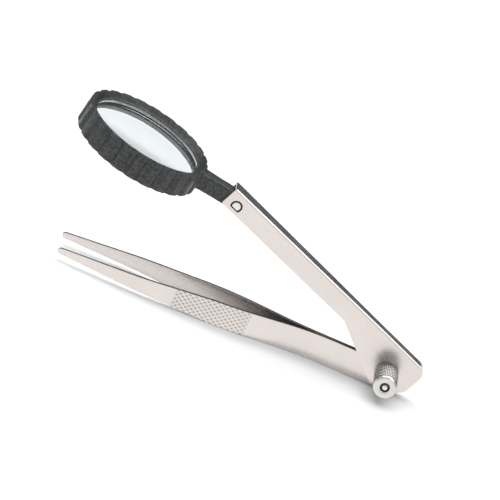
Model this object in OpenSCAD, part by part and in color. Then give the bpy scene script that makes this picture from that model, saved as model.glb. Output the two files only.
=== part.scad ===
// Stamp tongs with a folding magnifier: two sprung steel blades, a folded steel channel that
// swings on a clamped pivot, and a round loupe that tilts at the channel's far end.
// +X runs from the tips towards the pivot, -Y is the thumb nut's side and +Z is up.
// The blades' lower edges stand on Z = 0, and the origin is the bounding box's bottom centre.

/* [Tongs] */
// Length from the pivot axis to the tips
tongs_len = 115.6; // [112:0.2:120]
// Height of each blade at the heel
heel_h = 9.4; // [9:0.1:9.8]
// Thickness of each blade at the heel
blade_t = 1.2; // [1.1:0.05:1.2]
// Thickness of each blade at the tip
tip_t = 0.9; // [0.7:0.05:1]
// Distance from the pivot to the line where the blades start to flex
flex_dist = 27; // [26:0.5:29]
// Height of the pivot axis above the surface that the tongs stand on
pivot_z = 6.6; // [6.5:0.05:6.7]

/* [Arm] */
// Angle that the arm stands open above the tongs
arm_angle = 22.1; // [15:0.1:40]
// Length of the arm from the pivot axis to its far end
arm_len = 80.3; // [79.8:0.1:84]
// Height of the arm's top face above the pivot axis
arm_top = 9.9; // [9.6:0.1:10.2]
// Height of the arm's side plates
arm_side_h = 6.95; // [6.75:0.05:7.15]
// Outer width of the folded channel at the pivot
arm_w = 4.6; // [4.6:0.1:4.8]
// Outer width of the folded channel at its far end
arm_end_w = 7; // [7:0.1:7.3]
// Thickness of the arm's sheet
arm_t = 0.7; // [0.6:0.05:0.7]
// Radius of the ear round the pivot
ear_r = 6.4; // [6.1:0.1:6.6]

/* [Pivot] */
// Radius of the pivot bolt
bolt_r = 1.5; // [1.3:0.1:1.6]
// Radius of the thumb nut
nut_r = 4; // [3.5:0.1:4.5]
// Length of the thumb nut
nut_len = 10.7; // [8:0.1:12]

/* [Loupe] */
// Angle that the loupe drops from the arm's line towards the tongs
loupe_drop = 13.3; // [5:0.1:20]
// Distance from the tilt rivet to the centre of the lens
lens_dist = 36.6; // [36:0.2:40]
// Radius of the clear opening
opening_r = 19.1; // [18.5:0.1:19.5]
// Outer radius of the fluted housing
housing_r = 22.3; // [22.1:0.1:23]
// Thickness of the loupe from rim to rim
loupe_t = 9.15; // [9:0.05:11]
// Number of flutes round the housing
flutes = 24; // [16:4:32]
// Height of the stem
stem_h = 5.7; // [5.4:0.1:5.8]

/* [Hidden] */
$fn = 64;

steel = "silver";
plastic = "dimgray";
far = 200;          // larger than the object, for cuts that pass right through

// Blade shape: each bend is [distance where it starts, length, change of slope]
plan_bends = [[20, 18, 0.205], [48, 10, -0.135], [82, 10, -0.112]];
side_bends = [[20, 10, -0.033], [58, 8, -0.095], [80, 8, 0.02]];
plan_step = 3;      // spacing of the sections along a blade
flex_gap = 0.08;    // slit between heel and blade at the flex line
taper_from = 60;    // the blades thin down from here to the tips

// Fits
running = 0.05;     // clearance of a turning fit
snug = 0.02;        // clearance of a fixed fit
face_gap = 0.03;    // clearance between faces that slide on each other

// Pivot stack, measured along Y from the middle plane
friction_t = (arm_w / 2 - arm_t) - blade_t - face_gap;
friction_r = 2.7;
washer_t = 0.5;
washer_r = 3.7;
spring_h = 0.5;     // height of the conical spring washer as clamped
spring_t = 0.3;
stack_y = arm_w / 2 + face_gap;
nut_y = stack_y + washer_t + spring_h + face_gap;
nut_chamfer = 0.6;
bolt_head_r = 3.1;
bolt_head_t = 1.8;
bolt_point_r = 0.75;
bolt_point_len = 0.8;
slot_w = 0.8;
slot_depth = 0.9;

// Arm
bend_r = 0.8;       // outer radius of the folded edges
flare_from = 13;    // the channel widens from here to its far end
flare = atan((arm_end_w - arm_w) / 2 / (arm_len - flare_from));
fold_steps = 8;     // flats round each folded edge
sheet_low = -12;    // the sheet's lower edge before the outline is cut
rear_len = 9;       // the ear's rear end, behind the pivot
rear_r = 3.4;
rear_low = [5.6, 1, 3.4];           // x, height and radius of the ear's lower rear round
ear_front = [-12.6, 1.6, 0.5];      // x, height and radius where the ear's lower edge bends
ear_toe = [-20.5, arm_top - arm_side_h + 0.4, 0.4];     // the same where it meets the arm
ear_fillet = 3;
tilt_dist = 76;     // distance of the tilt rivet along the arm
tilt_h = 5.5;       // height of the tilt rivet above the pivot's level
plate_y = arm_w / 2 + (tilt_dist - flare_from) * tan(flare);    // outer faces at the rivet
rivet_r = 1.2;
rivet_hole_r = 2.05;    // the near plate's D-shaped hole and the flat below its axis
rivet_hole_flat = 1.3;
rivet_near_r = 1.45;    // the D-shaped head inside that hole
rivet_near_flat = 0.95;
rivet_head_r = 1.75;    // the round head on the far plate
rivet_head_t = 0.5;

// Loupe, in its own frame: the tilt axis is the origin and the lens lies towards -X
mid_z = 0.7;        // the loupe's middle plane above the tilt axis
half_t = loupe_t / 2;
opening_z = 2.5;    // the opening's edge above the middle plane
flute_r = 1.6;
flute_depth = 1;
dish_r = min(opening_r + 2, housing_r - flute_depth - 0.2);
rim_chamfer = 0.6;
ring_r = housing_r - 0.1;
ring_gap = 0.02;
seat_r = opening_r + 0.8;
lens_r = seat_r - 0.2;
lens_edge = 0.9;    // half the thickness of the lens at its edge
lens_rise = 1;      // rise of the lens's upper face from its edge to its centre
seat_z = lens_edge + running;   // the flat lower face rests on this seat
lens_curve = (pow(lens_r, 2) + pow(lens_rise, 2)) / (2 * lens_rise);
gasket_z = lens_edge + 0.15;
snap_z = 1.55;
snap_gap = 3;       // width of the snap ring's split
stem_t = 5.2;       // thickness of the stem between the arm's side plates
neck_t = 5.8;       // thickness of the stem's wide part next to the loupe
neck_start = 9.5;   // the wide part starts here, clear of the arm's end
tongue_r = 2.5;

// The bounding box runs from the loupe's far rim to the ear's upper rear corner
loupe_angle = arm_angle - loupe_drop;
loupe_far = tilt_dist * cos(arm_angle) - tilt_h * sin(arm_angle)
    + lens_dist * cos(loupe_angle) - mid_z * sin(loupe_angle)
    + housing_r * cos(loupe_angle) + (half_t - rim_chamfer) * sin(loupe_angle);
ear_far = (rear_len - rear_r) * cos(arm_angle) + (arm_top - rear_r) * sin(arm_angle) + rear_r;
pivot_x = (loupe_far - ear_far) / 2;

// A smooth start, then a straight rise of 1 in 1
function ramp(d, start, len) =
    d < start ? 0 : d < start + len ? pow(d - start, 2) / (2 * len) : d - start - len / 2;
function bent(d, bends, i = 0) =
    i == len(bends) ? 0 : bends[i][2] * ramp(d, bends[i][0], bends[i][1]) + bent(d, bends, i + 1);

// Height of a blade, height of its middle line, and its outer and inner faces, at distance d
function blade_h(d) = heel_h + bent(d, side_bends);
function blade_mid(d) = heel_h / 2 + bent(d, [side_bends[0]]) / 2;
function blade_thick(d) =
    blade_t - (blade_t - tip_t) * max(0, d - taper_from) / (tongs_len - taper_from);
function blade_out(d) = blade_t + bent(d, plan_bends);
function blade_in(d) = blade_out(d) - blade_thick(d);
function stations(from, to) = [for (i = [0:ceil((to - from) / plan_step)])
    min(to, from + i * plan_step)];

module at_pivot() {
    translate([pivot_x, 0, pivot_z]) children();
}

module at_arm() {
    at_pivot() rotate([0, arm_angle, 0]) children();
}

module at_loupe() {
    at_arm() translate([-tilt_dist, 0, tilt_h]) rotate([0, -loupe_drop, 0]) children();
}

// A disc or tube along Y, from y0 towards +Y
module disc_y(r, y0, len, r_in = 0) {
    translate([0, y0, 0]) rotate([-90, 0, 0]) difference() {
        cylinder(r = r, h = len);
        if (r_in > 0) translate([0, 0, -1]) cylinder(r = r_in, h = len + 2);
    }
}

// The outline of a blade seen from the side, with x = -distance from the pivot
module blade_side(from, to) {
    d = stations(from, to);
    tip_r = blade_h(tongs_len) / 2;
    has_tip = to == tongs_len;
    ends = has_tip ? [for (s = d) min(s, tongs_len - tip_r)] : d;
    polygon(concat(
        [for (s = ends) [-s, blade_mid(s) + blade_h(s) / 2]],
        [for (i = [len(ends) - 1:-1:0]) [-ends[i], blade_mid(ends[i]) - blade_h(ends[i]) / 2]]
    ));
    if (has_tip) translate([tip_r - tongs_len, blade_mid(tongs_len)]) circle(tip_r);
}

// The outline of a blade seen from above
module blade_plan(from, to) {
    d = stations(from, to);
    polygon(concat(
        [for (s = d) [-s, blade_out(s)]],
        [for (i = [len(d) - 1:-1:0]) [-d[i], blade_in(d[i])]]
    ));
}

module blade_front() {
    start = flex_dist + flex_gap;
    translate([pivot_x, 0, 0]) intersection() {
        linear_extrude(heel_h + 1) blade_plan(start, tongs_len);
        rotate([90, 0, 0]) linear_extrude(far, center = true) blade_side(start, tongs_len);
    }
}

module blade_heel() {
    translate([pivot_x, 0, 0]) difference() {
        union() {
            translate([0, 0, heel_h / 2]) disc_y(heel_h / 2, 0, blade_t);
            intersection() {
                linear_extrude(heel_h + 1) blade_plan(0, flex_dist);
                rotate([90, 0, 0]) linear_extrude(far, center = true) blade_side(0, flex_dist);
            }
        }
        translate([0, 0, pivot_z]) disc_y(bolt_r + snug, -1, blade_t + 2);
    }
}

module near_heel() {
    color(steel) mirror([0, 1, 0]) blade_heel();
}

module far_heel() {
    color(steel) blade_heel();
}

module near_blade() {
    color(steel) mirror([0, 1, 0]) blade_front();
}

module far_blade() {
    color(steel) blade_front();
}

module pivot_bolt() {
    end_y = nut_y + nut_len;
    head_y = stack_y + washer_t;
    color(steel) at_pivot() {
        disc_y(bolt_r, bolt_point_len - end_y, end_y - bolt_point_len + head_y);
        translate([0, bolt_point_len - end_y, 0]) rotate([90, 0, 0])
            cylinder(r1 = bolt_r, r2 = bolt_point_r, h = bolt_point_len);
        difference() {
            disc_y(bolt_head_r, head_y, bolt_head_t);
            translate([-far / 2, head_y + bolt_head_t - slot_depth, -slot_w / 2])
                cube([far, far, slot_w]);
        }
    }
}

module thumb_nut() {
    body_len = nut_len - 2 * nut_chamfer;
    color(steel) at_pivot() translate([0, -nut_y, 0]) rotate([90, 0, 0]) difference() {
        union() {
            cylinder(r1 = nut_r - nut_chamfer, r2 = nut_r, h = nut_chamfer);
            translate([0, 0, nut_chamfer]) cylinder(r = nut_r, h = body_len);
            translate([0, 0, nut_chamfer + body_len])
                cylinder(r1 = nut_r, r2 = nut_r - nut_chamfer, h = nut_chamfer);
        }
        translate([0, 0, -1]) cylinder(r = bolt_r + running, h = nut_len + 2);
    }
}

module near_washer() {
    color(steel) at_pivot()
        disc_y(washer_r, -stack_y - washer_t, washer_t, bolt_r + snug);
}

module far_washer() {
    color(steel) at_pivot() disc_y(washer_r, stack_y, washer_t, bolt_r + snug);
}

module spring_washer() {
    inner_r = bolt_r + 2 * running;
    outer_r = washer_r - 0.3;
    rise = spring_h - spring_t;
    color("darkgray") at_pivot() translate([0, -stack_y - washer_t, 0]) rotate([90, 0, 0])
        rotate_extrude() polygon([
            [outer_r, 0], [outer_r, spring_t], [inner_r, spring_h], [inner_r, rise]
        ]);
}

module near_friction_washer() {
    color("tan") at_pivot()
        disc_y(friction_r, -blade_t - friction_t, friction_t, bolt_r + snug);
}

module far_friction_washer() {
    color("tan") at_pivot() disc_y(friction_r, blade_t, friction_t, bolt_r + snug);
}

// The line over the fold from the lower edge at +Y to the lower edge at -Y, as [y, z]
function fold_line(half_w, r, top, low) = concat(
    [[half_w, low]],
    [for (i = [0:fold_steps]) let (a = 90 * i / fold_steps)
        [half_w - r + r * cos(a), top - r + r * sin(a)]],
    [for (i = [fold_steps:-1:0]) let (a = 90 * i / fold_steps)
        [r - half_w - r * cos(a), top - r + r * sin(a)]],
    [[-half_w, low]]
);

// A block with the fold's round upper edges, inside the sheet's outer faces by an inset:
// parallel round the pivot, then wider towards the arm's end. It runs past both ends.
module folded_block(inset, past) {
    places = [-arm_len - past, -flare_from, rear_len + past];
    half_w = [arm_end_w / 2 + past * tan(flare), arm_w / 2, arm_w / 2];
    sections = [for (w = half_w)
        fold_line(w - inset, bend_r - inset, arm_top - inset, sheet_low - inset)];
    n = len(sections[0]);
    polyhedron(
        points = [for (i = [0:2]) for (p = sections[i]) [places[i], p[0], p[1]]],
        faces = concat(
            [[for (k = [0:n - 1]) k], [for (k = [n - 1:-1:0]) 2 * n + k]],
            [for (i = [0:1]) for (k = [0:n - 1])
                [i * n + k, (i + 1) * n + k, (i + 1) * n + (k + 1) % n, i * n + (k + 1) % n]]
        )
    );
}

// The folded sheet before its outline is cut
module channel_sheet() {
    difference() {
        folded_block(0, 1);
        folded_block(arm_t, 2);
    }
}

// A disc along Y with a flat below its axis
module dee_y(r, flat, y0, len) {
    intersection() {
        disc_y(r, y0, len);
        translate([-far / 2, -far / 2, -flat]) cube(far);
    }
}

module arm_outline() {
    offset(r = -ear_fillet) offset(delta = ear_fillet) {
        translate([-arm_len, arm_top - arm_side_h])
            square([arm_len + rear_len - rear_r, arm_side_h]);
        hull() {
            circle(ear_r);
            translate([rear_len - rear_r, arm_top - rear_r]) circle(rear_r);
            translate([rear_low[0], rear_low[1]]) circle(rear_low[2]);
            translate([ear_front[0], ear_front[1]]) circle(ear_front[2]);
            translate([ear_toe[0], ear_toe[1]]) circle(ear_toe[2]);
        }
    }
}

module arm_channel() {
    color(steel) at_arm() difference() {
        intersection() {
            channel_sheet();
            rotate([90, 0, 0]) linear_extrude(arm_end_w + 2, center = true) arm_outline();
        }
        disc_y(bolt_r + running, -arm_w, 2 * arm_w);
        translate([-tilt_dist, 0, tilt_h]) {
            disc_y(rivet_r + snug, 0, arm_end_w);
            dee_y(rivet_hole_r, rivet_hole_flat, -arm_end_w, arm_end_w);
        }
    }
}

module tilt_rivet() {
    head_y = plate_y + rivet_head_r * tan(flare) + snug;
    color(steel) at_arm() translate([-tilt_dist, 0, tilt_h]) {
        disc_y(rivet_r, -plate_y, plate_y + head_y + rivet_head_t / 2);
        disc_y(rivet_head_r, head_y, rivet_head_t);
        dee_y(rivet_near_r, rivet_near_flat, -plate_y, arm_t);
    }
}

// Where the loupe's round parts are drawn: centre of the lens, middle plane
module at_lens() {
    at_loupe() translate([-lens_dist, 0, mid_z]) children();
}

// The grooves down the loupe's outside, which run over both the housing and the front ring
module flute_cuts() {
    for (i = [0:flutes - 1]) rotate((i + 0.5) * 360 / flutes)
        translate([housing_r + flute_r - flute_depth, 0, -far / 2])
            cylinder(r = flute_r, h = far);
}

module housing_ring() {
    difference() {
        rotate_extrude($fn = 128) polygon([
            [opening_r, -opening_z], [dish_r, -half_t], [housing_r - rim_chamfer, -half_t],
            [housing_r, rim_chamfer - half_t], [housing_r, opening_z], [seat_r, opening_z],
            [seat_r, -seat_z], [opening_r, -seat_z]
        ]);
        flute_cuts();
    }
}

module stem() {
    rim_x = lens_dist - (seat_r + housing_r) / 2;
    difference() {
        union() {
            disc_y(tongue_r, -stem_t / 2, stem_t);
            translate([-rim_x, -stem_t / 2, mid_z - stem_h / 2])
                cube([rim_x - tongue_r + 0.8, stem_t, stem_h]);
            translate([-rim_x, -neck_t / 2, mid_z - stem_h / 2])
                cube([rim_x - neck_start, neck_t, stem_h]);
        }
        disc_y(rivet_r + running, -stem_t, 2 * stem_t);
        translate([-lens_dist, 0, -far / 2]) cylinder(r = seat_r + 0.5, h = far);
        translate([-lens_dist, 0, mid_z + opening_z]) cylinder(r = housing_r, h = far);
    }
}

module lens_housing() {
    color(plastic) {
        at_lens() housing_ring();
        at_loupe() stem();
    }
}

module front_ring() {
    color(plastic) at_lens() difference() {
        rotate_extrude($fn = 128) polygon([
            [opening_r, opening_z + ring_gap], [dish_r, half_t], [ring_r - rim_chamfer / 2, half_t],
            [ring_r, half_t - rim_chamfer / 2], [ring_r, opening_z + ring_gap]
        ]);
        flute_cuts();
    }
}

module snap_ring() {
    color(steel) at_lens() difference() {
        translate([0, 0, snap_z]) cylinder(r = seat_r - ring_gap, h = opening_z - snap_z);
        translate([0, 0, snap_z - 1]) cylinder(r = opening_r, h = far);
        translate([0, -snap_gap / 2, 0]) cube([far, snap_gap, far]);
    }
}

module lens_gasket() {
    color("black") at_lens() difference() {
        translate([0, 0, gasket_z]) cylinder(r = seat_r - ring_gap, h = snap_z - gasket_z);
        translate([0, 0, gasket_z - 1]) cylinder(r = opening_r - 0.2, h = far);
    }
}

module lens() {
    color("lightcyan", 0.5) at_lens() intersection() {
        translate([0, 0, -lens_edge]) cylinder(r = lens_r, h = far, $fn = 128);
        translate([0, 0, lens_edge + lens_rise - lens_curve]) sphere(lens_curve, $fn = 200);
    }
}

near_heel();
far_heel();
near_blade();
far_blade();
pivot_bolt();
thumb_nut();
near_washer();
spring_washer();
far_washer();
near_friction_washer();
far_friction_washer();
arm_channel();
tilt_rivet();
lens_housing();
front_ring();
snap_ring();
lens_gasket();
lens();
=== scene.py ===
import math

import bmesh
import bpy
from mathutils import Matrix, Vector


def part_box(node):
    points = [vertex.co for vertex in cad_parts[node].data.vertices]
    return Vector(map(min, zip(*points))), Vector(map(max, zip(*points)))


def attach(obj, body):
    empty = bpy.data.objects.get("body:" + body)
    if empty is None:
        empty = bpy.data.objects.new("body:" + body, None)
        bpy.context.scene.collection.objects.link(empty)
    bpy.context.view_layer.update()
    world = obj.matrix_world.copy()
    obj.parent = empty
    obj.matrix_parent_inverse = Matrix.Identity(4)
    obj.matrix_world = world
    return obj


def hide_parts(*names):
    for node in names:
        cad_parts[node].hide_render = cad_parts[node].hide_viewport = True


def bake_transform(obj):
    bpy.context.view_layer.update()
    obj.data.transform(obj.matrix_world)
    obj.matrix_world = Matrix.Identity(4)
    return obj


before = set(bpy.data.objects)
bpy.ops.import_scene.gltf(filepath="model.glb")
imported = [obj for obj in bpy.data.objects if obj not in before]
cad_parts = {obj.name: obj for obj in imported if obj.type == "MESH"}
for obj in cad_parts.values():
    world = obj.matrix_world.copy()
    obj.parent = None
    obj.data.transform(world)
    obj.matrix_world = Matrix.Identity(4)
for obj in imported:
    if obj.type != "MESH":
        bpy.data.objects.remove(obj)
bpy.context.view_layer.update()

MM = 0.001


# ---------------------------------------------------------------- camera
AZIMUTH, ELEVATION, ROLL = -5.5, 21.7, 25.27        # degrees; azimuth 0 looks along +Y
CAMERA_DISTANCE, FOCAL_LENGTH, SENSOR_WIDTH = 1.512, 330.4, 36
AIM_FROM_PIVOT = (-56.85, 11.7, 15.6)               # mm, from the pivot to the picture's middle


def make_camera():
    azimuth, elevation, roll = (math.radians(a) for a in (AZIMUTH, ELEVATION, ROLL))
    back = Vector((math.sin(azimuth) * math.cos(elevation),
                   -math.cos(azimuth) * math.cos(elevation), math.sin(elevation)))
    level = Vector((math.cos(azimuth), math.sin(azimuth), 0))
    above = back.cross(level)
    right = level * math.cos(roll) + above * math.sin(roll)
    up = back.cross(right)
    low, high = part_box("thumb_nut")
    pivot_mid = Vector(((low.x + high.x) / 2, 0, (low.z + high.z) / 2))
    aim = pivot_mid + Vector(AIM_FROM_PIVOT) * MM
    data = bpy.data.cameras.new("camera")
    data.sensor_width = SENSOR_WIDTH
    data.lens = FOCAL_LENGTH
    data.clip_start, data.clip_end = 0.05, 50
    cam = bpy.data.objects.new("camera", data)
    bpy.context.scene.collection.objects.link(cam)
    cam.matrix_world = Matrix.Translation(aim + back * CAMERA_DISTANCE) @ Matrix(
        (right, up, back)).transposed().to_4x4()
    bpy.context.scene.camera = cam


make_camera()
bpy.context.scene.view_settings.view_transform = "Standard"


# ---------------------------------------------------------------- node helpers
class Nodes:
    """A material's node tree with one Principled shader, and short calls to add nodes."""

    def __init__(self, name, color, metallic=0.0, roughness=0.5, tilt=0.0, **sockets):
        self.tilt = tilt
        self.material = bpy.data.materials.new(name)
        self.material.use_nodes = True
        self.tree = self.material.node_tree
        self.shader = self.tree.nodes["Principled BSDF"]
        values = {"Base Color": (*color, 1), "Metallic": metallic, "Roughness": roughness}
        values.update({k.replace("_", " "): v for k, v in sockets.items()})
        for key, value in values.items():
            self.shader.inputs[key].default_value = value

    def add(self, kind, links=(), **values):
        node = self.tree.nodes.new(kind)
        for key, value in values.items():
            if key in node.inputs:
                node.inputs[key].default_value = value
            else:
                setattr(node, key, value)
        for key, source in links:
            self.tree.links.new(source, node.inputs[key])
        return node

    def coordinates(self, scale=(1, 1, 1)):
        """Object coordinates, turned level if the piece is tilted about Y, then scaled."""
        vector = self.add("ShaderNodeTexCoord").outputs["Object"]
        if self.tilt:
            level = self.add("ShaderNodeMapping", [("Vector", vector)])
            level.inputs["Rotation"].default_value = (0, -self.tilt, 0)
            vector = level.outputs["Vector"]
        mapping = self.add("ShaderNodeMapping", [("Vector", vector)])
        mapping.inputs["Scale"].default_value = scale
        return mapping.outputs["Vector"]

    def noise(self, vector, scale=1.0, detail=3.0):
        node = self.add("ShaderNodeTexNoise", [("Vector", vector)], Scale=scale, Detail=detail)
        return node.outputs["Fac"]

    def span(self, value, low, high):
        """Stretches the part of a noise that carries its contrast to low..high."""
        node = self.add("ShaderNodeMapRange", [("Value", value)])
        for key, number in (("From Min", 0.3), ("From Max", 0.7), ("To Min", low), ("To Max", high)):
            node.inputs[key].default_value = number
        return node.outputs["Result"]

    def mix(self, factor, a, b):
        """Mixes two colours, each a tuple or another node's output."""
        node = self.add("ShaderNodeMix", data_type="RGBA")
        self.tree.links.new(factor, node.inputs["Factor"])
        for socket, value in (("A", a), ("B", b)):
            target = [s for s in node.inputs if s.name == socket and s.type == "RGBA"][0]
            if isinstance(value, tuple):
                target.default_value = (*value, 1)
            else:
                self.tree.links.new(value, target)
        return [s for s in node.outputs if s.type == "RGBA"][0]

    def math(self, operation, a, b):
        node = self.add("ShaderNodeMath", operation=operation)
        for i, value in enumerate((a, b)):
            if isinstance(value, (int, float)):
                node.inputs[i].default_value = value
            else:
                self.tree.links.new(value, node.inputs[i])
        return node.outputs[0]

    def feed(self, socket, value):
        self.tree.links.new(value, self.shader.inputs[socket])

    def bump(self, height, distance, strength=1.0):
        node = self.add("ShaderNodeBump", [("Height", height)], Strength=strength, Distance=distance)
        self.feed("Normal", node.outputs["Normal"])


BRUSH_STRETCH = 45      # a brush mark is this many times longer than it is wide


def brushed_steel(name, color, roughness, along=(1, 0, 0), line=7000, tilt=0.0, painted_shade_color=None):
    """Steel with fine brushing along one local axis, slow blotches, and painted shade on the places
    that a mesh marks.
    """
    n = Nodes(name, color, metallic=1.0, roughness=roughness, tilt=tilt)
    scale = tuple(line / BRUSH_STRETCH if a else line for a in along)
    lines = n.noise(n.coordinates(scale), detail=4)
    blotch = n.noise(n.coordinates(), scale=90, detail=3)
    light = tuple(min(1, c * 1.035) for c in color)
    dark = tuple(c * 0.955 for c in color)
    steel = n.mix(n.span(blotch, 0, 1), dark, light)
    # Painted shade: marked vertices are mixed towards a dark shade colour
    if painted_shade_color:
        painted_shade = n.add("ShaderNodeAttribute", attribute_name="painted_shade").outputs["Fac"]
        steel = n.mix(painted_shade, steel, painted_shade_color)
    n.feed("Base Color", steel)
    n.feed("Roughness", n.math("ADD", n.span(lines, -0.05, 0.05),
                               n.span(blotch, roughness - 0.03, roughness + 0.04)))
    n.bump(lines, 0.000012, 0.35)
    return n.material


def plastic(name, color, roughness, grain=5200):
    """Moulded plastic with a fine grain, millimetre-sized mottling and slightly uneven gloss."""
    n = Nodes(name, color, roughness=roughness, Specular_IOR_Level=0.5)
    grain_noise = n.noise(n.coordinates(), scale=grain, detail=2)
    cloud = n.noise(n.coordinates(), scale=260, detail=3)
    speckle = n.noise(n.coordinates(), scale=1100, detail=4)
    n.feed("Base Color", n.mix(n.span(speckle, -0.9, 1.9), tuple(c * 0.5 for c in color),
                               tuple(c * 1.6 for c in color)))
    n.feed("Roughness", n.span(cloud, roughness - 0.05, roughness + 0.07))
    n.bump(grain_noise, 0.00003, 0.5)
    return n.material


SHEET_STEEL = (0.70, 0.653, 0.636)
blade_steel = brushed_steel("blade_steel", SHEET_STEEL, 0.28, painted_shade_color=(0.15, 0.145, 0.14))
nut_steel = brushed_steel("nut_steel", (0.66, 0.645, 0.63), 0.24, along=(0, 0, 0), line=4000,
                          painted_shade_color=(0.05, 0.049, 0.047))
bolt_steel = brushed_steel("bolt_steel", (0.74, 0.725, 0.71), 0.26, along=(0, 0, 0), line=4000,
                           painted_shade_color=(0.13, 0.128, 0.122))
washer_steel = brushed_steel("washer_steel", (0.27, 0.26, 0.25), 0.36, along=(0, 0, 0), line=3000)
snap_steel = brushed_steel("snap_steel", (0.72, 0.71, 0.70), 0.18, along=(0, 0, 0), line=5000)
friction_disc = plastic("friction_disc", (0.30, 0.17, 0.08), 0.62, grain=3500)
black_plastic = plastic("black_plastic", (0.026, 0.030, 0.028), 0.40)
# Painted shade: the black of the ring that fills the gap between the snap ring and the lens
gasket_rubber = plastic("gasket_rubber", (0.012, 0.012, 0.013), 0.5, grain=2500)


def glass():
    n = Nodes("lens_glass", (0.985, 0.995, 1.0), roughness=0.0, Transmission_Weight=1.0, IOR=1.49,
              Coat_Weight=0.2, Coat_Roughness=0.02)
    haze = n.noise(n.coordinates(), scale=55, detail=2)
    n.feed("Base Color", n.mix(n.span(haze, 0, 1), (0.93, 0.97, 1.0), (0.965, 0.985, 1.0)))
    n.feed("Roughness", n.span(n.noise(n.coordinates(), scale=140), 0.0, 0.012))
    return n.material


lens_glass = glass()


# ---------------------------------------------------------------- mesh helpers
def finish_mesh(name, mesh, matrix, body, material, replaced=(), bevel=None):
    """Places and cleans a mesh made in millimetres, and hangs it on its body if it has only one."""
    mesh.transform(matrix @ Matrix.Scale(MM, 4))
    bm = bmesh.new()
    bm.from_mesh(mesh)
    bmesh.ops.remove_doubles(bm, verts=bm.verts, dist=1e-6)
    bmesh.ops.dissolve_degenerate(bm, edges=bm.edges, dist=1e-7)
    bmesh.ops.recalc_face_normals(bm, faces=bm.faces)
    bm.to_mesh(mesh)
    bm.free()
    mesh.shade_smooth()
    mesh.materials.append(material)
    obj = bpy.data.objects.new(name, mesh)
    bpy.context.scene.collection.objects.link(obj)
    if bevel:
        mod = obj.modifiers.new("edges", "BEVEL")
        mod.width, mod.segments, mod.limit_method = bevel * MM, 3, "ANGLE"
        mod.angle_limit = math.radians(35)
        mod.use_clamp_overlap = True
    mod = obj.modifiers.new("normals", "WEIGHTED_NORMAL")
    mod.keep_sharp = False
    # In the photo the loupe casts no shadow on the floor, so its pieces cast none here
    obj.visible_shadow = body != "loupe"
    bpy.context.view_layer.update()
    if body:
        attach(obj, body)
    if replaced:
        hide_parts(*replaced)
    return obj


def mesh_from(verts, faces):
    mesh = bpy.data.meshes.new("shape")
    mesh.from_pydata(verts, [], faces)
    return mesh


def loft(rings, loop=False):
    """Joins rings of equal length with quads, and closes the ends unless the rings loop."""
    n, count = len(rings[0]), len(rings)
    verts = [p for ring in rings for p in ring]
    faces = []
    for i in range(count if loop else count - 1):
        a, b = i * n, (i + 1) % count * n
        faces += [(a + j, a + (j + 1) % n, b + (j + 1) % n, b + j) for j in range(n)]
    if not loop:
        faces += [tuple(range(n - 1, -1, -1)), tuple(range((count - 1) * n, count * n))]
    return mesh_from(verts, faces)


def lathe(profile, segments=96, closed=True, radius=None):
    """Turns (r, z) points round Z. radius(r, z, angle) may change a point's radius."""
    rings = []
    for r, z in profile:
        ring = []
        for k in range(segments):
            angle = 2 * math.pi * k / segments
            q = radius(r, z, angle) if radius else r
            ring.append((q * math.cos(angle), q * math.sin(angle), z))
        rings.append(ring)
    return loft(rings, loop=closed)


def rounded(corners, steps=4):
    """A closed outline of (x, y, radius) corners with each corner turned into an arc."""
    out = []
    for i, (x, y, r) in enumerate(corners):
        p = Vector((x, y))
        a = Vector(corners[i - 1][:2]) - p
        b = Vector(corners[(i + 1) % len(corners)][:2]) - p
        if r <= 0:
            out.append((x, y))
            continue
        half = a.angle(b) / 2
        cut = min(r / math.tan(half), a.length * 0.48, b.length * 0.48)
        r = cut * math.tan(half)
        centre = p + (a.normalized() + b.normalized()).normalized() * (r / math.sin(half))
        start = p + a.normalized() * cut - centre
        end = p + b.normalized() * cut - centre
        turn = math.atan2(start.x * end.y - start.y * end.x, start.dot(end))
        for k in range(steps + 1):
            v = Matrix.Rotation(turn * k / steps, 2) @ start
            out.append(tuple(centre + v))
    return out


def prism(outline, low, high, matrix=Matrix()):
    """An outline in local X and Y made solid from low to high along local Z, then moved."""
    mesh = loft([[(x, y, z) for x, y in outline] for z in (low, high)])
    mesh.transform(matrix)
    return mesh


def combine(mesh, *steps):
    """Applies (operation, mesh) boolean steps to a mesh and returns the result."""
    objs = []
    for m in (mesh, *(s[1] for s in steps)):
        bm = bmesh.new()
        bm.from_mesh(m)
        bmesh.ops.recalc_face_normals(bm, faces=bm.faces)
        bm.to_mesh(m)
        bm.free()
        o = bpy.data.objects.new("operand", m)
        bpy.context.scene.collection.objects.link(o)
        objs.append(o)
    for (operation, _), tool in zip(steps, objs[1:]):
        mod = objs[0].modifiers.new("cut", "BOOLEAN")
        mod.operation, mod.solver, mod.object = operation, "EXACT", tool
    view = bpy.context.evaluated_depsgraph_get()
    made = bpy.data.meshes.new_from_object(objs[0].evaluated_get(view))
    for o in objs:
        bpy.data.objects.remove(o)
    return made


def hull(points):
    """The convex hull of 2D points, counter-clockwise."""
    points = sorted(set(points))

    def chain(sequence):
        line = []
        for p in sequence:
            while len(line) > 1 and ((line[-1][0] - line[-2][0]) * (p[1] - line[-2][1])
                                     - (line[-1][1] - line[-2][1]) * (p[0] - line[-2][0])) <= 1e-9:
                line.pop()
            line.append(p)
        return line[:-1]
    return chain(points) + chain(points[::-1])


def paint_shade(mesh, measure):
    """Stores how much painted shade each vertex gets, 0 to 1: shade painted into grooves and gaps and
    along edges.
    """
    marks = mesh.attributes.new("painted_shade", "FLOAT", "POINT")
    marks.data.foreach_set("value", [measure(*v.co) for v in mesh.vertices])


def circle(x, y, r, steps=48):
    return [(x + r * math.cos(2 * math.pi * k / steps), y + r * math.sin(2 * math.pi * k / steps))
            for k in range(steps)]


# ---------------------------------------------------------------- places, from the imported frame
def centre(node):
    low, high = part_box(node)
    return (low + high) / 2


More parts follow.
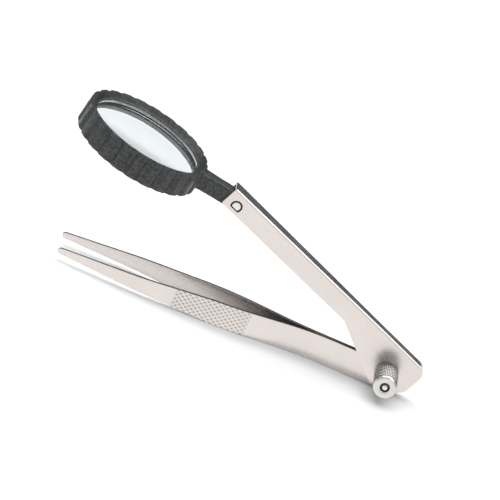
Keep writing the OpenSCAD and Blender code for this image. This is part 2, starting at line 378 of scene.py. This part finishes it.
# All lengths are in mm. The arm's and the loupe's are in their own frames, at the pivot and at
# the tilt rivet, with -X towards the tips.
ARM_LEN, ARM_TOP, ARM_SIDE, ARM_W, ARM_END_W, ARM_T = 80.3, 9.9, 6.95, 4.6, 7.0, 0.7
FLARE_FROM = 13.0       # the arm's plates are parallel up to here
TILT_DIST, TILT_H = 76.0, 5.5
LENS_DIST, MID_Z, GASKET_Z = 36.6, 0.7, 1.3
HEEL_H = 9.4
BOLT_R, BORE_R, CLOSE_BORE_R = 1.5, 1.55, 1.52

pivot = centre("thumb_nut")
pivot.y = 0
rivet = centre("tilt_rivet")
rivet.y = 0.0
gasket_mid = centre("lens_gasket")
arm_angle = math.atan2(rivet.z - pivot.z, pivot.x - rivet.x) - math.atan2(TILT_H, TILT_DIST)
loupe_angle = (math.atan2(gasket_mid.z - rivet.z, rivet.x - gasket_mid.x)
               - math.atan2(MID_Z + GASKET_Z, LENS_DIST))
at_pivot = Matrix.Translation(pivot)
at_arm = at_pivot @ Matrix.Rotation(arm_angle, 4, "Y")
at_rivet = Matrix.Translation(rivet) @ Matrix.Rotation(arm_angle, 4, "Y")
at_loupe = Matrix.Translation(rivet) @ Matrix.Rotation(loupe_angle, 4, "Y")
at_lens = at_loupe @ Matrix.Translation((-LENS_DIST * MM, 0, MID_Z * MM))
# Local +Z becomes world -Y, the thumb nut's side
to_near = Matrix.Rotation(math.radians(90), 4, "X")
arm_steel = brushed_steel("arm_steel", SHEET_STEEL, 0.25, tilt=arm_angle)


# ---------------------------------------------------------------- blades
TONGS_LEN, BLADE_T, TIP_T, TAPER_FROM, FLEX = 115.6, 1.2, 0.9, 60, 27
# Each bend is where it starts, how long it is, and the slope that it adds
PLAN_BENDS = ((20, 18, 0.205), (48, 10, -0.135), (82, 10, -0.112))
SIDE_BENDS = ((20, 10, -0.033), (58, 8, -0.095), (80, 8, 0.02))
KNURL_FROM, KNURL_TO, KNURL_P, KNURL_Q, KNURL_DEPTH = 48.6, 75.1, 1.06, 0.76, 0.15
KNURL_FADE = 0.3        # the knurl runs out over this length at its ends
EDGE_R = 0.14


def bent(d, bends):
    """How far a line has moved sideways at distance d, after the bends that it has passed."""
    total = 0
    for start, length, slope in bends:
        if d > start + length:
            total += slope * (d - start - length / 2)
        elif d > start:
            total += slope * (d - start) ** 2 / (2 * length)
    return total


TIP_R = (HEEL_H + bent(TONGS_LEN, SIDE_BENDS)) / 2


def blade_section(d):
    """Bottom, top, inner face and outer face of a blade at distance d from the pivot."""
    height = HEEL_H + bent(d, SIDE_BENDS)
    mid = HEEL_H / 2 + bent(d, SIDE_BENDS[:1]) / 2
    outer = BLADE_T + bent(d, PLAN_BENDS)
    thick = BLADE_T - (BLADE_T - TIP_T) * max(0, d - TAPER_FROM) / (TONGS_LEN - TAPER_FROM)
    half = height / 2
    if d < 0:
        half = math.sqrt(max(0, (HEEL_H / 2) ** 2 - d * d))
    elif d > TONGS_LEN - TIP_R:
        half = math.sqrt(max(0, TIP_R ** 2 - (d - TONGS_LEN + TIP_R) ** 2))
        mid = HEEL_H / 2 + bent(TONGS_LEN, SIDE_BENDS[:1]) / 2
    return mid - half, mid + half, outer - thick, outer


def knurl(d, z):
    """Depth, 0 to 1, of two crossing sets of grooves."""
    a, b = d / (2 * KNURL_P) + z / (2 * KNURL_Q), d / (2 * KNURL_P) - z / (2 * KNURL_Q)
    first, second = (max(0.0, 1 - abs(t - round(t)) / 0.27) for t in (a, b))
    return min(1.0, 0.22 * (first + second) + 0.75 * first * second)


def blade_mesh():
    """One continuous blade, heel to tip, on the +Y side, with the pivot at x = 0."""
    coarse, fine = 1.5, KNURL_P / 6
    places = [-HEEL_H / 2 * math.cos(math.radians(a)) for a in range(5, 90, 7)]
    places += [k * coarse for k in range(32)]
    steps = round((KNURL_TO - KNURL_FROM) / fine)
    places += [KNURL_FROM + k * fine for k in range(steps + 1)]
    places += [KNURL_TO + 0.9 + k * coarse for k in range(26)]
    places += [TONGS_LEN - TIP_R + TIP_R * math.sin(math.radians(a)) for a in range(0, 86, 8)]
    rings = []
    for d in places:
        low, high, inner, outer = blade_section(d)
        edge = min(EDGE_R, 0.42 * (outer - inner), 0.8 * (high - low) / 2)
        mid = (low + high) / 2
        ring = []

        def corner(y, z, first):
            for k in range(4):
                a = math.radians(first + 30 * k)
                ring.append((-d, y + edge * math.cos(a), z + edge * math.sin(a)))
        corner(outer - edge, low + edge, -90)
        rows = 54
        for k in range(1, rows):
            z = low + edge + (high - low - 2 * edge) * k / rows
            fade = min(1, (d - KNURL_FROM) / KNURL_FADE, (KNURL_TO - d) / KNURL_FADE,
                       (high - edge - z) / 0.35, (z - low - edge) / 0.35)
            y = outer - (KNURL_DEPTH * knurl(d, z - mid) * fade if fade > 0 else 0)
            ring.append((-d, y, z))
        corner(outer - edge, high - edge, 0)
        corner(inner + edge, high - edge, 90)
        for k in range(1, 6):
            ring.append((-d, inner, high - edge - (high - low - 2 * edge) * k / 6))
        corner(inner + edge, low + edge, 180)
        rings.append(ring)
    hole = lathe([(CLOSE_BORE_R, -3), (CLOSE_BORE_R, 3)], 48, closed=False)
    hole.transform(to_near)
    hole.transform(Matrix.Translation((0, 0.5, pivot.z / MM)))
    blade = combine(loft(rings), ("DIFFERENCE", hole))

    def measure(x, y, z):
        # Painted shade: the upper edges are painted dark as a dark reflection, the lower edges as the
        # shade at the floor, and the inner face darkens towards the pivot as the shade in the gap
        low, high, inner, outer = blade_section(-x)
        if z > high - 0.06 or z < low + 0.06:
            return 1.0
        if y < inner + 0.05:
            return 0.7 * min(1.0, max(0.0, (66 + x) / 26))
        # Painted shade: the knurl is darker the deeper its grooves
        fade = min(1, (-x - KNURL_FROM) / KNURL_FADE, (KNURL_TO + x) / KNURL_FADE)
        knurled = fade > 0 and y > outer - KNURL_DEPTH - 0.02
        return knurl(-x, z - (low + high) / 2) * fade if knurled else 0.0
    paint_shade(blade, measure)
    return blade


for side, jaw in ((-1, "near"), (1, "far")):
    mesh = blade_mesh()
    mesh.transform(Matrix.Translation((pivot.x / MM, 0, 0)) @ Matrix.Diagonal((1, side, 1, 1)))
    blade = finish_mesh(f"{jaw}_blade_steel", mesh, Matrix(), None, blade_steel,
                        (f"{jaw}_heel", f"{jaw}_blade"))
    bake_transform(blade)


# ---------------------------------------------------------------- arm channel
FLARE = math.atan((ARM_END_W - ARM_W) / 2 / (ARM_LEN - FLARE_FROM))
PLATE_Y = ARM_W / 2 + (TILT_DIST - FLARE_FROM) * math.tan(FLARE)
ARM_LOW = -12           # the sheet is folded down to here before its outline is cut
EAR_R, REAR_R, REAR_X, REAR_LOW_Z = 6.4, 3.4, 5.59, 1
FRONT_ROUND, TOE_X, TOE_R = (-12.6, 1.6, 0.5), -20.5, 0.4
RIVET_HOLE_R, RIVET_HOLE_FLAT, RIVET_BORE_R = 2.05, 1.3, 1.22


def arm_section(half_w):
    """The folded sheet's section in Y and Z, outer line then inner line."""
    def line(half, r, top, low):
        steps = 9
        right = [(half - r + r * math.cos(math.radians(90 * k / steps)),
                  top - r + r * math.sin(math.radians(90 * k / steps))) for k in range(steps + 1)]
        return [(half, low)] + right + [(-y, z) for y, z in right[::-1]] + [(-half, low)]
    outer = line(half_w, 0.8, ARM_TOP, ARM_LOW)
    inner = line(half_w - ARM_T, 0.1, ARM_TOP - ARM_T, ARM_LOW)
    return outer + inner[::-1]


def arm_outline():
    """The arm's side outline in X and Z: a strip, and the ear round the pivot with its toe."""
    low, chamfer = ARM_TOP - ARM_SIDE, 0.35
    ear = hull(circle(0, 0, EAR_R, 96) + circle(REAR_X, ARM_TOP - REAR_R, REAR_R, 96)
               + circle(REAR_X, REAR_LOW_Z, REAR_R, 96)
               + circle(*FRONT_ROUND) + circle(TOE_X, low + TOE_R, TOE_R))
    # The toe is where the ear's lower edge runs into the strip's
    start = min(range(len(ear)), key=lambda i: math.dist(ear[i], (TOE_X, low)))
    ear = ear[start:] + ear[:start]
    rear_top = max(i for i, p in enumerate(ear) if p[1] > ARM_TOP - 0.01 and p[0] > 0)
    return [(-ARM_LEN + chamfer, low), (TOE_X - 2.5, low), *ear[1:rear_top + 1],
            (-ARM_LEN + chamfer, ARM_TOP), (-ARM_LEN, ARM_TOP - chamfer), (-ARM_LEN, low + chamfer)]


def dee(r, flat, steps=48):
    """A round outline with a flat on its -Y side."""
    return [(x, max(y, -flat)) for x, y in circle(0, 0, r, steps)]


def arm_mesh():
    across = Matrix(((1, 0, 0, 0), (0, 0, 1, 0), (0, 1, 0, 0), (0, 0, 0, 1)))
    rings = []
    for x in (-ARM_LEN - 2, -FLARE_FROM, 12):
        half_w = ARM_W / 2 + max(0, -x - FLARE_FROM) * math.tan(FLARE)
        rings.append([(x, y, z) for y, z in arm_section(half_w)])
    side = prism(arm_outline(), -6, 6, across)
    bore = prism(circle(0, 0, BORE_R), -5, 5, across)
    rivet_bore = prism(circle(-TILT_DIST, TILT_H, RIVET_BORE_R), 0, 5, across)
    hole = [(x - TILT_DIST, y + TILT_H) for x, y in dee(RIVET_HOLE_R, RIVET_HOLE_FLAT)]
    return combine(loft(rings), ("INTERSECT", side), ("DIFFERENCE", bore), ("DIFFERENCE", rivet_bore),
                   ("DIFFERENCE", prism(hole, -5, 0, across)))


finish_mesh("arm_channel_steel", arm_mesh(), at_arm, "arm", arm_steel,
            ("arm_channel",), bevel=0.12)


RIVET_R, NEAR_HEAD_R, NEAR_HEAD_FLAT, FAR_HEAD_R, FAR_HEAD_T = 1.2, 1.45, 0.95, 1.75, 0.5


def rivet_mesh():
    """A rivet: a D-shaped head inside the near plate's hole and a round one on the far plate."""
    near, far = PLATE_Y, PLATE_Y + FAR_HEAD_R * math.tan(FLARE) + 0.02
    profile = rounded([(0.0, near, 0), (NEAR_HEAD_R, near, 0.16), (NEAR_HEAD_R, near - ARM_T, 0),
                       (RIVET_R, near - ARM_T, 0), (RIVET_R, -far, 0), (FAR_HEAD_R, -far, 0.05),
                       (FAR_HEAD_R, -far - FAR_HEAD_T, 0.34), (0.0, -far - FAR_HEAD_T, 0)], 5)

    def radius(r, z, angle):
        # A chord is cut off the near head below; local -Y is down once the rivet lies across
        if z > near - ARM_T - 0.001 and r > 0.6:
            down = max(1e-6, -math.sin(angle))
            return min(r, (NEAR_HEAD_FLAT - (NEAR_HEAD_R - r)) / down)
        return r
    rivet = lathe(profile, 96, closed=False, radius=radius)
    # Painted shade: the near head's side inside the plate's hole is dark as the shade in the gap around
    # it
    paint_shade(rivet, lambda x, y, z: 1.0 if near - ARM_T - 0.1 < z < near - 0.3 else 0.0)
    return rivet


finish_mesh("tilt_rivet_steel", rivet_mesh(), at_rivet @ to_near, "arm", bolt_steel,
            ("tilt_rivet",))


# ---------------------------------------------------------------- pivot stack
STACK_Y, WASHER_T, NUT_Y, NUT_LEN, NUT_R = 2.33, 0.5, 3.36, 10.7, 4.0
NUT_TEETH, NUT_KNURL, LAND = 20, 0.34, 1.0
BOLT_HEAD_R, BOLT_HEAD_H, SLOT_W, SLOT_DEPTH = 3.1, 1.8, 0.8, 0.9
WASHER_R, SPRING_R, SPRING_BORE_R, SPRING_T, DISC_R = 3.7, 3.4, 1.6, 0.3, 2.7
DISC_LOW, DISC_HIGH = 1.2, 1.57


def nut_mesh():
    """A thumb nut: diamond knurling between two turned lands, a chamfered, slightly hollow face."""
    low, high, rows = LAND, NUT_LEN - LAND, 66
    side = [(NUT_R, low + (high - low) * k / rows) for k in range(rows + 1)]
    plate_end = [(BORE_R, 0.25), (1.8, 0.0), (NUT_R - 0.6, 0.0), (NUT_R - 0.3, 0.1),
                 (NUT_R - 0.1, 0.35), (NUT_R - 0.1, 0.85)]
    free_end = [(NUT_R - 0.1, NUT_LEN - 0.85), (NUT_R - 0.1, NUT_LEN - 0.62),
                (NUT_R - 0.18, NUT_LEN - 0.48), (NUT_R - 0.55, NUT_LEN - 0.08),
                (NUT_R - 0.68, NUT_LEN), (NUT_R - 1.2, NUT_LEN - 0.05),
                (1.8, NUT_LEN - 0.08), (1.62, NUT_LEN - 0.2), (BORE_R, NUT_LEN - 0.4)]

    def radius(r, z, angle):
        if r < NUT_R - 0.001:
            return r
        turn = angle * NUT_TEETH / (2 * math.pi)
        climb = z / (2 * math.pi * NUT_R / NUT_TEETH)
        grooves = [abs((t - math.floor(t)) - 0.5) * 2 for t in (turn + climb, turn - climb)]
        ends = min(1, (z - low) / 0.15, (high - z) / 0.15)
        return r - NUT_KNURL * max(0.0, 1 - 1.9 * min(grooves)) * ends
    nut = lathe(plate_end + side + free_end, NUT_TEETH * 6, radius=radius)

    def measure(x, y, z):
        # Painted shade: the land at the plate end is dark as the shade against the plate, and the knurl
        # darker the deeper its grooves
        r = math.hypot(x, y)
        if z < low:
            return 0.6 if r > NUT_R - 0.7 else 0.0
        knurled = z < high and r > NUT_R - NUT_KNURL - 0.05
        return min(1.0, 0.2 + 1.1 * (NUT_R - r) / NUT_KNURL) if knurled else 0.0
    paint_shade(nut, measure)
    return nut


finish_mesh("thumb_nut_steel", nut_mesh(), at_pivot @ Matrix.Translation((0, -NUT_Y * MM, 0)) @ to_near,
            "nut", nut_steel, ("thumb_nut",))


def bolt_mesh():
    """The pivot bolt: a threaded end that tapers in the nut's face, and a slotted cheese head."""
    end = NUT_Y + NUT_LEN
    head = STACK_Y + WASHER_T
    pitch, depth = 0.5, 0.12
    profile = [(0.0, end), (0.8, end), (0.88, end - 0.08), (1.0, end - 0.25), (BOLT_R, end - 0.55)]
    z = end - 0.95
    while z > NUT_Y + 0.2:
        profile += [(BOLT_R, z), (BOLT_R - depth, z - pitch * 0.4)]
        z -= pitch
    profile += [(BOLT_R, NUT_Y), (BOLT_R, -head + 0.01), (BOLT_HEAD_R, -head),
                (BOLT_HEAD_R, -head - 1.35), (BOLT_HEAD_R - 0.12, -head - 1.66),
                (BOLT_HEAD_R - 0.4, -head - BOLT_HEAD_H), (0.0, -head - BOLT_HEAD_H)]
    body = lathe(profile, 72, closed=False)
    half = SLOT_W / 2
    slot = prism([(-4, -half), (4, -half), (4, half), (-4, half)], -head - 3, -head - SLOT_DEPTH)
    bolt = combine(body, ("DIFFERENCE", slot))
    # The taper lies in shadow between the bolt's flat end and the nut
    paint_shade(bolt, lambda x, y, z: float(end - 2 < z < end - 0.02 and math.hypot(x, y) > 0.85))
    return bolt


finish_mesh("pivot_bolt_steel", bolt_mesh(), at_pivot @ to_near, "tongs", bolt_steel,
            ("pivot_bolt",))


def washer(name, node, outer, inner, low, high, material, dish=0.0):
    """A flat or dished washer with rounded edges, from low to high on the nut's side."""
    r = min(0.12, (high - low) * 0.4)
    profile = rounded([(inner, low + dish, r), (outer, low, r),
                       (outer, high, r), (inner, high + dish, r)], 3)
    finish_mesh(name, lathe(profile, 72), at_pivot @ to_near, "tongs", material, (node,))


STACK_TOP = STACK_Y + WASHER_T
washer("near_washer_steel", "near_washer", WASHER_R, CLOSE_BORE_R, STACK_Y, STACK_TOP,
       washer_steel)
washer("far_washer_steel", "far_washer", WASHER_R, CLOSE_BORE_R, -STACK_TOP, -STACK_Y,
       washer_steel)
washer("spring_washer_steel", "spring_washer", SPRING_R, SPRING_BORE_R, STACK_TOP,
       STACK_TOP + SPRING_T, washer_steel, dish=0.2)
washer("near_friction_disc", "near_friction_washer", DISC_R, CLOSE_BORE_R, DISC_LOW, DISC_HIGH,
       friction_disc)
washer("far_friction_disc", "far_friction_washer", DISC_R, CLOSE_BORE_R, -DISC_HIGH, -DISC_LOW,
       friction_disc)


# ---------------------------------------------------------------- loupe
OPEN_R, HOUSING_R, HALF_T, OPEN_Z = 19.1, 22.29, 4.575, 2.5
SEAT_R, LENS_R, LENS_EDGE, LENS_RISE, SEAT_Z = 19.9, 19.7, 0.9, 1.0, 0.95
DISH_R = OPEN_R + 2.0
FLUTES, FLUTE_R, FLUTE_DEPTH = 24, 1.6, 1.0
RING_STEPS = FLUTES * 18
SNAP_LOW, SNAP_HIGH, GASKET_LOW, GASKET_HIGH = 1.56, 2.49, 1.06, 1.54


def fluted(r, z, angle):
    """The housing's outer wall, with round-bottomed flutes whose edges are slightly soft."""
    if r < DISH_R + 0.05:
        return r
    pitch = 2 * math.pi / FLUTES
    off = (angle / pitch - 0.5) - round(angle / pitch - 0.5)
    across = off * pitch * (HOUSING_R + FLUTE_R - FLUTE_DEPTH)
    reach = FLUTE_R ** 2 - across ** 2
    bottom = HOUSING_R + FLUTE_R - FLUTE_DEPTH - math.sqrt(reach) if reach > 0 else 99
    soft = 0.14
    gap = bottom - r
    return r + (0.5 * (gap - math.sqrt(gap * gap + soft * soft)) if gap < 5 else 0.0)


def housing_mesh():
    corners = [(OPEN_R, -OPEN_Z, 0.15), (DISH_R, -HALF_T, 0.2), (HOUSING_R - 0.35, -HALF_T, 0.3),
               (HOUSING_R, -HALF_T + 0.6, 0.3), (HOUSING_R, OPEN_Z, 0.06), (SEAT_R, OPEN_Z, 0.1),
               (SEAT_R, -SEAT_Z, 0.05), (OPEN_R, -SEAT_Z, 0.1)]
    return lathe(rounded(corners), RING_STEPS, radius=fluted)


finish_mesh("housing_fluted", housing_mesh(), at_lens, "loupe", black_plastic,
            ("lens_housing",))


def stem_mesh():
    """The stem from its tongue between the arm's plates to its flare on the housing."""
    half_h, tongue_r, neck_w, flare_x = 2.85, 2.5, 2.6, -13.4
    rings = []
    # Each station is its X and the stem's half width there
    stations = [(tongue_r * math.sin(math.radians(a)), 2.58) for a in range(84, 0, -12)]
    stations += [(x, neck_w) for x in (0.0, -0.6, -1.2, -2.0, -3.0, -4.5, -6.5, -8.6)]
    stations += [(-9.6, 2.64), (-10.6, 2.72), (-11.6, 2.8), (-12.6, 2.86), (flare_x, 2.95),
                 (-14.2, 3.15), (-14.9, 3.5), (-15.5, 4.0)]
    for x, half_w in stations:
        t = min(1, max(0, (-x - 0.2) / 1.8))
        t = t * t * (3 - 2 * t)
        round_h = math.sqrt(max(0.02, tongue_r ** 2 - x * x)) if x > -tongue_r else 0
        low = -round_h * (1 - t) + (MID_Z - half_h) * t
        high = round_h * (1 - t) + (MID_Z + half_h) * t
        low -= max(0, (flare_x - x) / 2.0) ** 2 * 0.4
        r = min(0.5, half_w * 0.48, (high - low) * 0.45)
        section = rounded([(half_w, low, r), (half_w, high, r),
                           (-half_w, high, r), (-half_w, low, r)], 5)
        rings.append([(x, y, z) for y, z in section])
    return loft(rings)


finish_mesh("loupe_stem", stem_mesh(), at_loupe, "loupe", black_plastic)


def front_ring_mesh():
    corners = [(OPEN_R, OPEN_Z + 0.02, 0), (OPEN_R, OPEN_Z + 0.36, 0.12),
               (OPEN_R + 0.42, OPEN_Z + 0.42, 0.12),
               (OPEN_R + 0.6, OPEN_Z + 0.5, 0.1), (DISH_R, HALF_T - 0.02, 0.15),
               (HOUSING_R - 0.4, HALF_T, 0.15), (HOUSING_R - 0.1, HALF_T - 0.3, 0.2),
               (HOUSING_R - 0.1, OPEN_Z + 0.02, 0.05)]
    return lathe(rounded(corners), RING_STEPS, radius=fluted)


finish_mesh("front_ring_turned", front_ring_mesh(), at_lens, "loupe", black_plastic,
            ("front_ring",))


def snap_ring_mesh():
    """A bright split ring with rounded edges and open ends."""
    inner, outer = OPEN_R + 0.02, SEAT_R - 0.03
    section = rounded([(inner, SNAP_LOW, 0.15), (outer, SNAP_LOW, 0.1),
                       (outer, SNAP_HIGH, 0.1), (inner, SNAP_HIGH, 0.15)], 3)
    gap = 1.5 / OPEN_R
    rings = []
    steps = 140
    for k in range(steps + 1):
        a = gap + (2 * math.pi - 2 * gap) * k / steps
        rings.append([(r * math.cos(a), r * math.sin(a), z) for r, z in section])
    return loft(rings)


finish_mesh("snap_ring_steel", snap_ring_mesh(), at_lens, "loupe", snap_steel, ("snap_ring",))

# Painted shade: a black ring fills the gap between the snap ring and the lens and stands for the shade
# in that gap
gap_shade_profile = rounded([(OPEN_R - 0.18, GASKET_LOW, 0.12), (SEAT_R - 0.04, GASKET_LOW, 0.1),
                  (SEAT_R - 0.04, GASKET_HIGH, 0.1), (OPEN_R - 0.18, GASKET_HIGH, 0.15)], 3)
finish_mesh("gap_shade_ring", lathe(gap_shade_profile, 144), at_lens, "loupe", gasket_rubber,
            ("lens_gasket",))


def lens_mesh():
    """A plano-convex lens with a ground cylindrical edge, its convex face up."""
    curve = (LENS_R ** 2 + LENS_RISE ** 2) / (2 * LENS_RISE)
    steps = 28
    face = [LENS_R * math.sin(math.pi / 2 * k / steps) for k in range(steps + 1)]
    upper = [(r, math.sqrt(curve ** 2 - r * r) - curve + LENS_EDGE + LENS_RISE) for r in face]
    upper[-1] = (LENS_R - 0.08, upper[-1][1])
    edge = [(LENS_R, LENS_EDGE - 0.1), (LENS_R, -LENS_EDGE + 0.1), (LENS_R - 0.08, -LENS_EDGE)]
    lower = [(LENS_R * k / 6, -LENS_EDGE) for k in range(5, -1, -1)]
    return lathe(upper + edge + lower, 144, closed=False)


finish_mesh("lens_plano_convex", lens_mesh(), at_lens, "loupe", lens_glass, ("lens",))


# ---------------------------------------------------------------- stage and light
def plane(name, corners, material):
    mesh = bpy.data.meshes.new(name)
    mesh.from_pydata([tuple(c) for c in corners], [], [(0, 1, 2, 3)])
    mesh.materials.append(material)
    obj = bpy.data.objects.new(name, mesh)
    bpy.context.scene.collection.objects.link(obj)
    return obj


floor_paint = Nodes("floor_paint", (0.92, 0.92, 0.92), roughness=0.9, Specular_IOR_Level=0.0)
plane("floor", [(-30, -30, 0), (30, -30, 0), (30, 30, 0), (-30, 30, 0)], floor_paint.material)


def reflection_card(name, corners, color, strength):
    """A photographer's reflector: a panel that is seen in reflections only."""
    paint = Nodes(f"{name}_paint", (0, 0, 0), roughness=1.0, Specular_IOR_Level=0.0,
                  Emission_Color=(*color, 1), Emission_Strength=strength)
    card = plane(name, corners, paint.material)
    card.visible_camera = card.visible_diffuse = card.visible_transmission = card.visible_shadow = False


reflection_card("dark_card", [(-1.6, 0.9, 0.03), (1.9, 0.9, 0.03), (1.9, 0.9, 0.85), (-1.6, 0.9, 0.85)],
                (0.9, 0.95, 1), 0.08)
reflection_card("bright_card", [(0.45, -1.4, 1.5), (0.45, 1.1, 1.5), (1.2, 1.1, 1.0), (1.2, -1.4, 1.0)],
                (1, 1, 1), 1.7)
reflection_card("floor_card", [(-0.5, -0.7, 0.0002), (0.5, -0.7, 0.0002), (0.5, -0.006, 0.0002),
                              (-0.5, -0.006, 0.0002)], (1, 0.985, 0.965), 1.15)


def softbox(name, place, size, power, color):
    """A rectangular light that faces the origin."""
    data = bpy.data.lights.new(name, "AREA")
    data.shape, data.size, data.size_y = "RECTANGLE", *size
    data.energy, data.color = power, color
    obj = bpy.data.objects.new(name, data)
    bpy.context.scene.collection.objects.link(obj)
    obj.location = place
    obj.rotation_mode = "QUATERNION"
    obj.rotation_quaternion = (-Vector(place)).to_track_quat("-Z", "Y")


softbox("key_softbox", (-0.06, 0.44, 1.28), (1.8, 1.4), 18, (1.0, 0.985, 0.965))

world = bpy.data.worlds.new("world")
bpy.context.scene.world = world
world.use_nodes = True
world.node_tree.nodes["Background"].inputs["Color"].default_value = (0.94, 0.975, 1.0, 1)
world.node_tree.nodes["Background"].inputs["Strength"].default_value = 0.69
